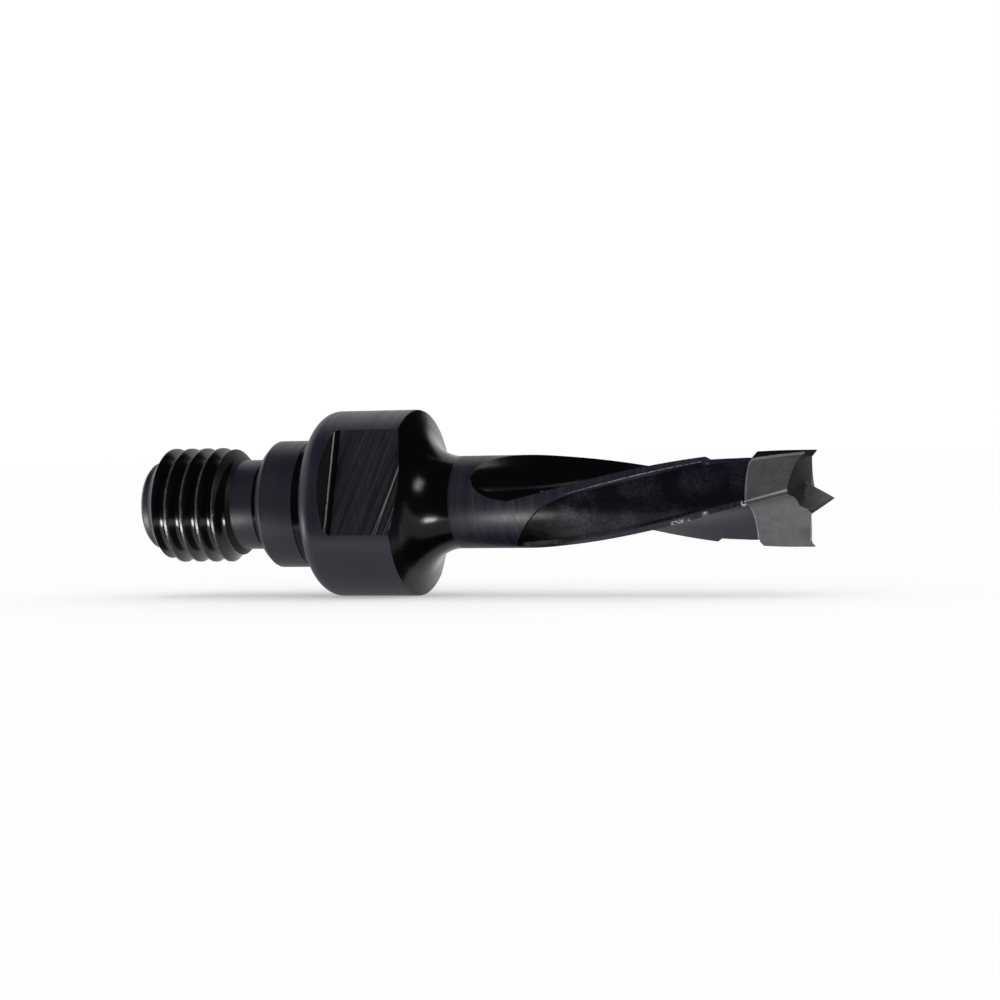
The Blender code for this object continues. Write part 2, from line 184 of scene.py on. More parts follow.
# The stage, in metres. The hood's corners are places along Y and Z, the wing's along X and Y.
HOOD_HALF_LENGTH = 1.2
HOOD_SECTION = ((-0.0125, 0.0005), (-1.5, 0.0005), (-1.5, 1.2), (0.5, 1.2))
WING_CORNERS = ((-0.0055, -0.004), (0.004, -0.004), (0.010, 0.009), (0.5, 0.009), (0.5, 0.72))
WING_X = 0.5
WING_REACH = (-1.5, 0.72)
WING_HEIGHT = 1.2
WING_FLOOR_Z = 0.0004
FENCE_X = (-0.002, 0.032)
FENCE_Y = 0.02
FENCE_Z = (0.008, 0.060)
FLOOR_REACH = 3.0
FLOOR_COLOR = (0.8, 0.8, 0.8)
FLOOR_GLOW = 0.35
SKY_LIGHT = 0.8
LAMP_COLOR = (1.0, 0.97, 0.92)

# Each light strip: its reach along X and along Y, its height over the floor and its glow.
LOW_STRIP = ((-0.060, 0.060), (-0.0115, -0.0105), 0.0006, 2.5)
THREAD_LIGHT = ((-0.042, -0.0262), (-0.0125, -0.0085), 0.0008, 22.0)
FLARE_LIGHT = ((-0.0010, 0.0032), (-0.0125, -0.0100), 0.0008, 38.0)

# The upright lamp: its centre, width, height and glow.
SIDE_LAMP = ((0.070, -0.044, 0.056), 0.022, 0.034, 12.0)

# The camera, with angles in degrees and lengths in metres.
CAMERA_AZIMUTH = 20.0
CAMERA_ELEVATION = 1.0
CAMERA_ROLL = -1.02
CAMERA_DISTANCE = 0.27
CAMERA_TARGET = Vector((0.001489, 0.0, 0.008144))
LENS_PER_WIDTH = 3.167

# The pieces' material slots.
SATIN, GLOSS, MILLED, NECK, FLUTE, CLEARED, EDGE, SPATTER = range(8)
THREADED, CHAMFER, CREST, RUN_OUT = range(4)
FLANK, FACE, END, MARGIN, RIM_HIGHLIGHT = range(5)

# Sizes that follow.
THREAD_ROOT_RADIUS = THREAD_RADIUS - THREAD_DEPTH_SHARE * THREAD_PITCH
PILOT_START = -PILOT_LENGTH
RELIEF_START = PILOT_START - RELIEF_LENGTH
SHANK_END = RELIEF_START - THREAD_LENGTH
FLUTE_START = TOOL_LENGTH - FLUTED_LENGTH
HEAD_START = TOOL_LENGTH - HEAD_LENGTH
BRAZE_START = HEAD_START - BRAZE_GAP - BRAZE_THICKNESS
BODY_END = BRAZE_START - BRAZE_GAP
LIP_PLACE = TOOL_LENGTH - LIP_SETBACK
TWIST_PER_MM = 180.0 * tan(radians(HELIX_ANGLE)) / (pi * CUT_RADIUS)
HALF_CHORD = CUT_RADIUS * sin(radians(FLUTE_ARC / 2))
FLUTE_SAG = CUT_RADIUS * cos(radians(FLUTE_ARC / 2)) - CORE_RADIUS
FLUTE_RADIUS = (HALF_CHORD**2 + FLUTE_SAG**2) / (2 * FLUTE_SAG)
FLUTE_CENTRE = CORE_RADIUS + FLUTE_RADIUS
FLUTE_FULL = FLUTE_START + sqrt(2 * FLUTE_WHEEL_RADIUS * (NECK_RADIUS - CORE_RADIUS))
MILLING_TURN = (
    0.0,
    -asin(sin(MILLING_SLOPE) * cos(radians(WRENCH_ROLL))),
    atan2(sin(MILLING_SLOPE) * sin(radians(WRENCH_ROLL)), cos(MILLING_SLOPE)),
)

# Where the frame puts the tool, in metres.
BODY_LOW, BODY_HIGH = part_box("steel_body")
SEAT_X = BODY_LOW.x - SHANK_END * MM
AXIS_Z = (BODY_LOW.z + BODY_HIGH.z) / 2


def place(x, radius, angle):
    """A point of the tool. Angle 0 faces -Y and 90 faces +Z, round the tool's axis."""
    turn = radians(angle)
    return Vector(
        (
            SEAT_X + x * MM,
            -radius * cos(turn) * MM,
            AXIS_Z + radius * sin(turn) * MM,
        )
    )


def flute_angle(x):
    return FLUTE_CENTRE_AT_TIP - TWIST_PER_MM * (TOOL_LENGTH - x)


def flute_lift(x):
    """How far the grinding wheel has lifted out of the flute at x."""
    return max(0.0, FLUTE_FULL - x) ** 2 / (2 * FLUTE_WHEEL_RADIUS)


def flute_half_arc(x, outside):
    """Half the angle that the flute spans on a cylinder of this radius, in degrees."""
    centre = FLUTE_CENTRE + flute_lift(x)
    along = (outside**2 + centre**2 - FLUTE_RADIUS**2) / (2 * outside * centre)
    return degrees(atan2(sqrt(1 - along**2), along)) if along < 1 else 0.0


def flute_reach(x, angle, outside):
    """Distance from the axis to the flute's surface, at an angle from its middle."""
    centre = FLUTE_CENTRE + flute_lift(x)
    side = centre * sin(radians(angle))
    if abs(side) >= FLUTE_RADIUS:
        return outside
    return min(outside, centre * cos(radians(angle)) - sqrt(FLUTE_RADIUS**2 - side**2))


def section(x, outside, arcs, depths):
    """The two-fluted section at x, as pairs of radius and angle."""
    half = flute_half_arc(x, outside)
    middle = flute_angle(x)
    share = min(1.0, (180.0 - 2 * half) / (sum(arcs) + 2 * arcs[1]))
    heel_arc, step, lead_arc = (arc * share for arc in arcs)
    heel, land, lead = (outside - depth for depth in depths)
    points = []
    for side in (0.0, 180.0):
        for i in range(FLUTE_STEPS):
            angle = half * (2.0 * i / FLUTE_STEPS - 1.0)
            limit = lead if angle < 0 else heel
            points.append((min(flute_reach(x, angle, outside), limit), side + angle))
        for i in range(MARGIN_STEPS + 1):
            points.append((heel, side + half + heel_arc * i / MARGIN_STEPS))
        start, stop = half + heel_arc + step, 180.0 - half - lead_arc - step
        for i in range(CLEARANCE_STEPS + 1):
            points.append((land, side + start + (stop - start) * i / CLEARANCE_STEPS))
        for i in range(MARGIN_STEPS):
            points.append((lead, side + 180.0 - half - lead_arc * (1 - i / MARGIN_STEPS)))
    return [(radius, middle + angle) for radius, angle in points]


HALF_RING = FLUTE_STEPS + CLEARANCE_STEPS + 2 * MARGIN_STEPS + 2
RING_POINTS = 2 * HALF_RING
# The first strip of the heel on the land that faces the lens, and the specks' reach on it.
NEAR_HEEL = HALF_RING + FLUTE_STEPS
SPATTER_STRIPS = 5


def in_flute(column):
    """Whether the strip after this column of points lies in a flute or at its lip."""
    return (column + 1) % HALF_RING <= FLUTE_STEPS


def in_clearance(column):
    """Whether the strip lies on the cleared land between the margins."""
    return 0 <= column % HALF_RING - FLUTE_STEPS - MARGIN_STEPS <= CLEARANCE_STEPS


def in_lead_step(column):
    """Whether the strip is the step up to the leading margin."""
    return column % HALF_RING == FLUTE_STEPS + MARGIN_STEPS + CLEARANCE_STEPS + 1


def in_heel_step(column):
    """Whether the strip is the step down to the heel."""
    return column % HALF_RING == FLUTE_STEPS + MARGIN_STEPS


def in_lead_margin(column):
    return column % HALF_RING > FLUTE_STEPS + MARGIN_STEPS + CLEARANCE_STEPS + 1


def at_near_heel_lip(column):
    """Whether the strip lies where a flute meets the heel of the land that faces the lens."""
    return -1 <= column - NEAR_HEEL < SPATTER_STRIPS


def stations(start, end, longest=TWIST_STATION):
    """Evenly spaced places from start to end, no further apart than longest."""
    count = max(1, ceil((end - start) / longest - 1e-6))
    return [start + (end - start) * i / count for i in range(count + 1)]


def run_in(x, length):
    """How far a grinding pass has run in at x, from 0 at its start to 1."""
    left = min(1.0, max(0.0, (FLUTE_START + CLEARANCE_DELAY + length - x) / length))
    return 1.0 - left**2


def body_section(x):
    """The steel body's fluted section, with its margins and the cleared land between them."""
    margin_stop = HEAD_START - MARGIN_STOP_BEFORE_HEAD
    past = max(0.0, x - margin_stop)
    deepened = past / MARGIN_STOP_BEFORE_HEAD * (CLEARANCE_DEPTH_AT_HEAD - CLEARANCE_DEPTH)
    depth = CLEARANCE_DEPTH * run_in(x, CLEARANCE_SINK) + deepened
    lowered = min(1.0, past / MARGIN_STOP_SLOPE) * depth
    # The cleared land starts as a point on the heel's side, where the margins meet.
    land = 180.0 - 2 * flute_half_arc(x, NECK_RADIUS)
    ground = land - 3 * MARGIN_STEP_ARC
    width = run_in(x, CLEARANCE_RUN_IN)
    widest = max(HEEL_MARGIN_ARC, ground * CLEARANCE_START_SHARE)
    heel = widest + (HEEL_MARGIN_ARC - widest) * width
    widest = max(LEAD_MARGIN_ARC, ground * (1.0 - CLEARANCE_START_SHARE))
    lead = widest + (LEAD_MARGIN_ARC - widest) * width
    # Before the land is cleared, the section's points lie evenly on it.
    even = land / (2 * MARGIN_STEPS + CLEARANCE_STEPS + 2)
    settled = min(1.0, (x - FLUTE_START) / CLEARANCE_DELAY)
    spans = zip((MARGIN_STEPS, 1, MARGIN_STEPS), (heel, MARGIN_STEP_ARC, lead))
    arcs = [count * even * (1.0 - settled) + goal * settled for count, goal in spans]
    return section(x, NECK_RADIUS, arcs, (lowered, depth, lowered))


def new_piece(name, build, materials):
    """A smooth-shaded object from a bmesh, with sharp edges where it turns sharply."""
    bmesh.ops.remove_doubles(build, verts=build.verts, dist=1e-7)
    bmesh.ops.recalc_face_normals(build, faces=build.faces)
    mesh = bpy.data.meshes.new(name)
    build.to_mesh(mesh)
    build.free()
    for material in materials:
        mesh.materials.append(material)
    mesh.shade_smooth()
    mesh.set_sharp_from_angle(angle=radians(SHARP_ANGLE))
    obj = bpy.data.objects.new(name, mesh)
    bpy.context.scene.collection.objects.link(obj)
    return obj


def skin(rings, slot_of=None):
    """A bmesh skinned over rings of equal count, capped at both ends.

    slot_of gives the material slot of the face at a row and a column.
    """
    build = bmesh.new()
    rows = [[build.verts.new(point) for point in ring] for ring in rings]
    count = len(rows[0])
    for row, (lower, upper) in enumerate(zip(rows, rows[1:])):
        for i in range(count):
            j = (i + 1) % count
            face = build.faces.new((lower[i], lower[j], upper[j], upper[i]))
            face.material_index = slot_of(row, i) if slot_of else 0
    build.faces.new(list(reversed(rows[0])))
    build.faces.new(rows[-1])
    return build


def applied_boolean(obj, tool, operation):
    """Applies a Boolean and removes its tool."""
    change = obj.modifiers.new("boolean", "BOOLEAN")
    change.operation = operation
    change.object = tool
    change.solver = "EXACT"
    bpy.context.view_layer.objects.active = obj
    bpy.ops.object.modifier_apply(modifier=change.name)
    bpy.data.objects.remove(tool, do_unlink=True)
    obj.data.set_sharp_from_angle(angle=radians(SHARP_ANGLE))


def turned_profile():
    """The turned part from under the thread to the neck: x, radius and material slot."""
    slope = radians(FLARE_ANGLE)
    tangent_radius = NECK_RADIUS + FLARE_FILLET_RADIUS * (1 - cos(slope))
    tangent_x = COLLAR_LENGTH + (COLLAR_RADIUS - tangent_radius) / tan(slope)
    fillet_end = tangent_x + FLARE_FILLET_RADIUS * sin(slope)
    points = [(RELIEF_START - THREAD_RUN_OUT, RELIEF_RADIUS, SATIN)]
    groove = PILOT_START - PILOT_GROOVE_WIDTH
    points += [(x, RELIEF_RADIUS, SATIN) for x in stations(RELIEF_START, groove, RELIEF_STATION)]
    points[-1] = (groove, RELIEF_RADIUS, GLOSS)
    bottom = RELIEF_RADIUS - PILOT_GROOVE_DEPTH
    points += [(groove + BEVEL, bottom, GLOSS), (PILOT_START, bottom, GLOSS)]
    points.append((PILOT_START, PILOT_RADIUS - PILOT_CHAMFER, SATIN))
    chamfer_end = PILOT_START + PILOT_CHAMFER
    points.append((chamfer_end - BEVEL, PILOT_RADIUS - BEVEL, SATIN))
    groove = -SEAT_GROOVE_WIDTH
    straight = stations(chamfer_end + BEVEL, groove, TURNED_STATION)
    points += [(x, PILOT_RADIUS, SATIN) for x in straight]
    points[-1] = (groove, PILOT_RADIUS, GLOSS)
    bottom = PILOT_RADIUS - SEAT_GROOVE_DEPTH
    points += [(groove + BEVEL, bottom, GLOSS), (0.0, bottom, SATIN)]
    edge = COLLAR_EDGE_RADIUS
    for angle in stations(0.0, 90.0, ARC_STEP):
        turn = radians(angle)
        points.append(
            (edge - edge * cos(turn), COLLAR_RADIUS - edge + edge * sin(turn), SATIN)
        )
    straight = stations(edge, COLLAR_LENGTH - BEVEL, TURNED_STATION)
    points += [(x, COLLAR_RADIUS, SATIN) for x in straight[1:]]
    points.append((COLLAR_LENGTH + BEVEL / 2, COLLAR_RADIUS - BEVEL / 2, GLOSS))
    for angle in stations(0.0, FLARE_ANGLE, ARC_STEP):
        turn = radians(FLARE_ANGLE - angle)
        points.append(
            (
                fillet_end - FLARE_FILLET_RADIUS * sin(turn),
                NECK_RADIUS + FLARE_FILLET_RADIUS * (1 - cos(turn)),
                GLOSS if angle < FLARE_ANGLE else NECK,
            )
        )
    return points


def turned_and_fluted(materials):
    """The steel body without its thread, before the wrench flats are cut."""
    profile = turned_profile()
    start = body_section(FLUTE_START)
    first = flute_angle(FLUTE_START) - 180.0 * FLUTE_STEPS / RING_POINTS
    even = [first + 360.0 * i / RING_POINTS for i in range(RING_POINTS)]
    rings = [[place(x, r, angle) for angle in even] for x, r, _ in profile]
    slots = [slot for _, _, slot in profile]
    # Along the neck the points draw together towards the pointed start of each flute.
    neck = stations(profile[-1][0], FLUTE_START, TWIST_STATION / 2)
    for x in neck[1:-1]:
        share = (x - neck[0]) / (neck[-1] - neck[0])
        rings.append(
            [
                place(x, NECK_RADIUS, angle + share * (goal - angle))
                for angle, (_, goal) in zip(even, start)
            ]
        )
        slots.append(NECK)
    margin_stop = HEAD_START - MARGIN_STOP_BEFORE_HEAD
    cleared = FLUTE_START + CLEARANCE_DELAY
    places = stations(FLUTE_START, cleared)
    places += stations(cleared, cleared + CLEARANCE_RUN_IN)[1:]
    places += stations(cleared + CLEARANCE_RUN_IN, margin_stop)[1:]
    places += stations(margin_stop, margin_stop + MARGIN_STOP_SLOPE)[1:]
    places += stations(margin_stop + MARGIN_STOP_SLOPE, BODY_END)[1:]
    turned_rows = len(rings)
    rings += [[place(x, r, angle) for r, angle in body_section(x)] for x in places]

    def slot_of(row, column):
        if row < turned_rows - 1:
            return slots[row]
        x = places[min(row - turned_rows + 1, len(places) - 1)]
        spattered = any(abs(HEAD_START - x - d) < w for d, w in SPATTER_BEFORE_HEAD)
        if spattered and at_near_heel_lip(column):
            return SPATTER
        if in_flute(column):
            return FLUTE
        # The step up to the leading margin gets a painted highlight.
        if in_lead_step(column) and cleared + CLEARANCE_RUN_IN < x < margin_stop:
            return EDGE
        if in_clearance(column) and x > cleared:
            return CLEARED
        return NECK

    return new_piece("body_detail", skin(rings, slot_of), materials)


def offset_point(x, outwards, sideways, angle):
    """A point out from the axis at this angle, then sideways along the tangent."""
    turn = radians(angle)
    return Vector(
        (
            SEAT_X + x * MM,
            (sideways * sin(turn) - outwards * cos(turn)) * MM,
            AXIS_Z + (sideways * cos(turn) + outwards * sin(turn)) * MM,
        )
    )


def wrench_cutter(index, materials):
    """What cuts one wrench flat, whose end wall leans back from a rounded foot."""
    top = COLLAR_RADIUS + CUTTER_OVERHANG
    lean = (top - WRENCH_HALF) * tan(radians(WRENCH_WALL_SLOPE))
    reach = COLLAR_LENGTH + COLLAR_RADIUS
    swept = 90.0 - WRENCH_WALL_SLOPE
    centre_x = WRENCH_LAND_START + WRENCH_FILLET * tan(radians(swept / 2))
    foot = []
    for angle in stations(WRENCH_WALL_SLOPE, 90.0, FOOT_STEP):
        turn = radians(angle)
        across = centre_x - WRENCH_FILLET * cos(turn)
        foot.append((across, WRENCH_HALF + WRENCH_FILLET * (1 - sin(turn))))
    flat = len(foot) - 1
    outline = foot + [(reach, WRENCH_HALF), (reach, top), (WRENCH_LAND_START - lean, top)]
    angle = WRENCH_ROLL + 180.0 * index
    rings = [
        [offset_point(x, out, sideways, angle) for x, out in outline]
        for sideways in (-COLLAR_RADIUS, COLLAR_RADIUS)
    ]
    build = skin(rings, lambda row, column: MILLED if column == flat else GLOSS)
    return new_piece(f"wrench_cutter_{index + 1}", build, materials)


def steel_body(materials):
    body = turned_and_fluted(materials)
    for index in range(2):
        applied_boolean(body, wrench_cutter(index, materials), "DIFFERENCE")
    return body


def tooth_radius(share):
    """The thread's radius at a share of the pitch from its crest, with soft corners."""
    flank = 0.5 - (THREAD_CREST_SHARE + THREAD_ROOT_SHARE) / 2
    rise = min(1.0, max(0.0, (0.5 - abs(share) - THREAD_ROOT_SHARE / 2) / flank))
    soft = 0.5 - 0.5 * cos(pi * rise)
    mixed = rise + THREAD_SOFTNESS * (soft - rise)
    return THREAD_ROOT_RADIUS + (THREAD_RADIUS - THREAD_ROOT_RADIUS) * mixed


def thread_rod(materials):
    """A threaded rod, longer than the thread, that its envelope trims."""
    build = bmesh.new()
    turns = ceil(THREAD_LENGTH / THREAD_PITCH + 2 * THREAD_SPARE_TURNS)
    start = SHANK_END - THREAD_SPARE_TURNS * THREAD_PITCH
    rows = []
    for k in range(turns * THREAD_PROFILE_STEPS):
        share = k % THREAD_PROFILE_STEPS / THREAD_PROFILE_STEPS - 0.5
        radius = tooth_radius(share)
        row = []
        for j in range(THREAD_SEGMENTS + 1):
            x = start + THREAD_PITCH * (k / THREAD_PROFILE_STEPS + j / THREAD_SEGMENTS)
            row.append(build.verts.new(place(x, radius, 360.0 * j / THREAD_SEGMENTS)))
        rows.append(row)
    crest = round(THREAD_PROFILE_STEPS * THREAD_CREST_SHARE / 2)
    for k, (lower, upper) in enumerate(zip(rows, rows[1:])):
        from_crest = k % THREAD_PROFILE_STEPS + 0.5 - THREAD_PROFILE_STEPS / 2
        for j in range(THREAD_SEGMENTS):
            face = build.faces.new((lower[j], lower[j + 1], upper[j + 1], upper[j]))
            # The narrow strip on each crest gets a painted highlight.
            face.material_index = CREST if abs(from_crest) < crest else THREADED
    bmesh.ops.remove_doubles(build, verts=build.verts, dist=1e-7)
    open_edges = [edge for edge in build.edges if edge.is_boundary]
    middle = sum(edge.verts[0].co.x for edge in open_edges) / len(open_edges)
    for is_end in (False, True):
        edges = [e for e in open_edges if (e.verts[0].co.x > middle) == is_end]
        x = sum(edge.verts[0].co.x for edge in edges) / len(edges)
        centre = build.verts.new((x, 0.0, AXIS_Z))
        for edge in edges:
            build.faces.new((edge.verts[0], edge.verts[1], centre))
    return new_piece("thread_detail", build, materials)


def thread_envelope(materials):
    """The turned blank of the thread, with a plain lead and a run-out."""
    outside = THREAD_RADIUS + BLANK_ALLOWANCE
    inside = RELIEF_RADIUS - RELIEF_OVERLAP
    lead_end = SHANK_END + THREAD_LEAD_LENGTH
    slope_end = lead_end + (outside - THREAD_LEAD_RADIUS) / tan(radians(THREAD_LEAD_SLOPE))
    profile = (
        (SHANK_END, THREAD_LEAD_RADIUS - THREAD_LEAD_CHAMFER),
        (SHANK_END + THREAD_LEAD_CHAMFER, THREAD_LEAD_RADIUS),
        (lead_end, THREAD_LEAD_RADIUS),
        (slope_end, outside),
        (RELIEF_START - THREAD_RUN_OUT, outside),
        (RELIEF_START, inside),
    )
    rings = [
        [place(x, r, 360.0 * i / THREAD_SEGMENTS) for i in range(THREAD_SEGMENTS)]
        for x, r in profile
    ]
    last = len(profile) - 2
    build = skin(rings, lambda row, column: RUN_OUT if row == last else CHAMFER)
    for face in build.faces:
        if len(face.verts) > 4:
            face.material_index = CHAMFER
    return new_piece("thread_envelope", build, materials)


def thread(materials):
    rod = thread_rod(materials)
    applied_boolean(rod, thread_envelope(materials), "INTERSECT")
    return rod


def braze_layer(materials):
    """The solder between the body and the head, with the bead that it left at one corner."""
    places = stations(BRAZE_START, HEAD_START - BRAZE_GAP, BRAZE_THICKNESS / 2)
    rings = [[place(x, r, angle) for r, angle in body_section(x)] for x in places]
    build = skin(rings)
    bead = place(HEAD_START - BEAD_BEFORE_HEAD, CUT_RADIUS - BEAD_DEPTH, BEAD_ANGLE)
    bmesh.ops.create_icosphere(
        build, subdivisions=3, radius=BEAD_RADIUS * MM, matrix=Matrix.Translation(bead)
    )
    return new_piece("braze_detail", build, materials)


def head_section(x):
    """The carbide head's section: full margin at the lip, cleared land and lowered heel."""
    backed = max(0.0, 1.0 - (x - HEAD_START) / HEAD_BACK_CHAMFER) * HEAD_BACK_CHAMFER
    return section(
        x,
        CUT_RADIUS,
        (HEAD_HEEL_ARC, MARGIN_STEP_ARC, HEAD_MARGIN_ARC),
        (HEAD_HEEL_DEPTH, HEAD_CLEARANCE_DEPTH, backed),
    )


def end_height(radius, angle):
    """Where the head's front surface lies, at an angle from a flute's middle."""
    turn = angle % 180.0
    lip = 180.0 - flute_half_arc(TOOL_LENGTH, CUT_RADIUS)
    behind = radians(lip - turn) if 1e-6 < turn < lip else 0.0
    height = LIP_PLACE - radius * tan(radians(LIP_RELIEF_ANGLE)) * behind
    outer = (radius - CUT_RADIUS + SPUR_WIDTH) / SPUR_WIDTH
    fade = 1.0 - behind / radians(SPUR_ARC)
    height += SPUR_HEIGHT * max(0.0, min(1.0, outer)) * max(0.0, fade)
    turned = radians(angle - POINT_TURN)
    reach = radius * max(abs(cos(turned)), abs(sin(turned)))
    return max(height, TOOL_LENGTH - reach * 2 * LIP_SETBACK / POINT_WIDTH)


def carbide_head(materials):
    """The brazed head: twisted section, relieved lips with spurs, and a centre point."""
    rim_start = LIP_PLACE - CUT_RADIUS * tan(radians(LIP_RELIEF_ANGLE)) * pi / 2
    places = stations(HEAD_START, HEAD_START + HEAD_BACK_CHAMFER)
    places += stations(HEAD_START + HEAD_BACK_CHAMFER, rim_start)[1:]
    rings = [[place(x, r, angle) for r, angle in head_section(x)] for x in places]
    tip = head_section(TOOL_LENGTH)
    tip_middle = flute_angle(TOOL_LENGTH)
    goals = [end_height(radius, angle - tip_middle) for radius, angle in tip]
    for share in stations(0.0, 1.0, 1.0 / RIM_STEPS)[1:]:
        ring = []
        for i, goal in enumerate(goals):
            x = rim_start + share * (goal - rim_start)
            ring.append(place(x, *head_section(x)[i]))
        rings.append(ring)
    for inner in reversed(stations(END_RING_LEAST, CUT_RADIUS, END_RING_STEP)[:-1]):
        ring = []
        for i, (radius, angle) in enumerate(tip):
            reach = min(radius, inner)
            x = end_height(reach, angle - tip_middle)
            own_radius, own_angle = head_section(x)[i]
            ring.append(place(x, min(own_radius, inner), own_angle))
        rings.append(ring)
    rim_rows = len(places) + RIM_STEPS - 1

    def slot_of(row, column):
        if row >= rim_rows:
            return END
        if in_flute(column):
            return FACE
        # The steps and the back edge get the rim's painted highlight.
        if in_heel_step(column) or in_lead_step(column) or row == 0:
            return RIM_HIGHLIGHT
        return MARGIN if in_lead_margin(column) else FLANK

    return new_piece("head_detail", skin(rings, slot_of), materials)


# Materials. The Mix node gives several sockets one name, so its colours go by number.
COLOR_A, COLOR_B, COLOR_MIXED = 6, 7, 2


def surface(name, color, roughness, metallic=0.0, specular=0.5):
    """A new material and its Principled shader."""
    material = bpy.data.materials.new(name)
    material.use_nodes = True
    shader = material.node_tree.nodes["Principled BSDF"]
    shader.inputs["Base Color"].default_value = (*color, 1.0)
    shader.inputs["Roughness"].default_value = roughness
    shader.inputs["Metallic"].default_value = metallic
    shader.inputs["Specular IOR Level"].default_value = specular
    return material, shader


def node(material, kind, **values):
    """A new node, with its settings and its sockets' values given by name."""
    made = material.node_tree.nodes.new(kind)
    for name, value in values.items():
        if hasattr(made, name):
            setattr(made, name, value)
        else:
            made.inputs[name.replace("_", " ").title()].default_value = value
    return made


def link(material, output, socket):
    material.node_tree.links.new(output, socket)


def own_place(material):
    """The surface's own place, in metres."""
    return node(material, "ShaderNodeTexCoord").outputs["Object"]


def along_tool(material):
    """How far along the tool a place lies, in metres."""
    parts = node(material, "ShaderNodeSeparateXYZ")
    link(material, own_place(material), parts.inputs["Vector"])
    return parts.outputs["X"]


def grain(material, scale, detail=4.0, rough=0.6, stretch=(1.0, 1.0, 1.0), turn=(0, 0, 0)):
    """A noise from 0 to 1, with this many features to a millimetre.

    The axes are turned first, and a small stretch draws the features out along its axis.
    """
    mapping = node(material, "ShaderNodeMapping", vector_type="TEXTURE")
    mapping.inputs["Rotation"].default_value = turn
    mapping.inputs["Scale"].default_value = [MM / factor for factor in stretch]
    link(material, own_place(material), mapping.inputs["Vector"])
    noise = node(material, "ShaderNodeTexNoise", Scale=scale, Detail=detail, Roughness=rough)
    link(material, mapping.outputs["Vector"], noise.inputs["Vector"])
    return noise.outputs["Fac"]


def between(material, factor, low, high, start=0.3, end=0.7):
    """Maps a factor's range from start to end to the range from low to high."""
    mapped = node(material, "ShaderNodeMapRange")
    mapped.inputs["From Min"].default_value = start
    mapped.inputs["From Max"].default_value = end
    mapped.inputs["To Min"].default_value = low
    mapped.inputs["To Max"].default_value = high
    link(material, factor, mapped.inputs["Value"])
    return mapped.outputs["Result"]


def tint(material, factor, dark, light):
    """A colour between two others, where dark may also be another node's colour."""
    mix = node(material, "ShaderNodeMix", data_type="RGBA")
    if isinstance(dark, tuple):
        mix.inputs[COLOR_A].default_value = (*dark, 1.0)
    else:
        link(material, dark, mix.inputs[COLOR_A])
    mix.inputs[COLOR_B].default_value = (*light, 1.0)
    link(material, factor, mix.inputs["Factor"])
    return mix.outputs[COLOR_MIXED]


def product(material, first, second):
    both = node(material, "ShaderNodeMath", operation="MULTIPLY")
    link(material, first, both.inputs[0])
    link(material, second, both.inputs[1])
    return both.outputs[0]


def bumped(material, shader, height, depth, below=None):
    """A bump of this depth in millimetres, over the bump below it."""
    bump = node(material, "ShaderNodeBump", Strength=1.0, Distance=depth * MM)
    link(material, height, bump.inputs["Height"])
    if below:
        link(material, below, bump.inputs["Normal"])
    link(material, bump.outputs["Normal"], shader.inputs["Normal"])
    return bump.outputs["Normal"]


def satin_steel(name, ring_depth, ring_tint, specular=0.5):
    """Blackened steel that keeps its turning rings."""
    material, shader = surface(name, DARK, 0.42, specular=specular)
    fine = grain(material, 14.0)
    rings = grain(material, 3.2, 4.0, 0.75, stretch=(1.0, 0.01, 0.01))
    plain = tint(material, grain(material, 0.9, 3.0, 0.5), DARK, DARK_WORN_AND_SHEEN)
    bright = between(material, rings, 0.0, ring_tint, 0.42, 0.66)
    color = tint(material, bright, plain, RING_GREY)
    link(material, color, shader.inputs["Base Color"])
    link(material, between(material, rings, 0.36, 0.50), shader.inputs["Roughness"])
    first = bumped(material, shader, rings, ring_depth)
    bumped(material, shader, fine, 0.0025, first)
    return material


def glossy_steel():
    """Blackened steel that shines: the flare, the grooves and the flats' end walls."""
    material, shader = surface("blackened_gloss", BLACK, 0.14, specular=0.24)
    specks = grain(material, 7.0, 4.0, 0.7)
    rings = grain(material, 9.0, 3.0, 0.7, stretch=(1.0, 0.25, 0.25))
    link(material, between(material, specks, 0.10, 0.24), shader.inputs["Roughness"])
    first = bumped(material, shader, rings, 0.010)
    bumped(material, shader, specks, 0.004, first)
    return material


def flute_steel():
    """The flutes: black at first as painted shade, and a dark grey painted sheen towards the
    head.
    """
    material, shader = surface("blackened_flute", BLACK, 0.2)
    lines = grain(material, 6.0, 4.0, 0.7, stretch=(0.05, 1.0, 1.0))
    specks = grain(material, 9.0, 4.0, 0.7)
    # Painted shade: black near the flutes' start, turning towards the head into a grey painted
    # sheen.
    painted_light_share = between(material, along_tool(material), 0.0, 1.0, *FLUTE_SHADE_FADE)
    link(material, tint(material, painted_light_share, BLACK, DARK_WORN_AND_SHEEN), shader.inputs["Base Color"])
    level = between(material, painted_light_share, 0.09, 0.6, 0.0, 1.0)
    link(material, level, shader.inputs["Specular IOR Level"])
    link(material, between(material, painted_light_share, 0.16, 0.38, 0.0, 1.0), shader.inputs["Roughness"])
    first = bumped(material, shader, lines, 0.003)
    bumped(material, shader, specks, 0.002, first)
    return material


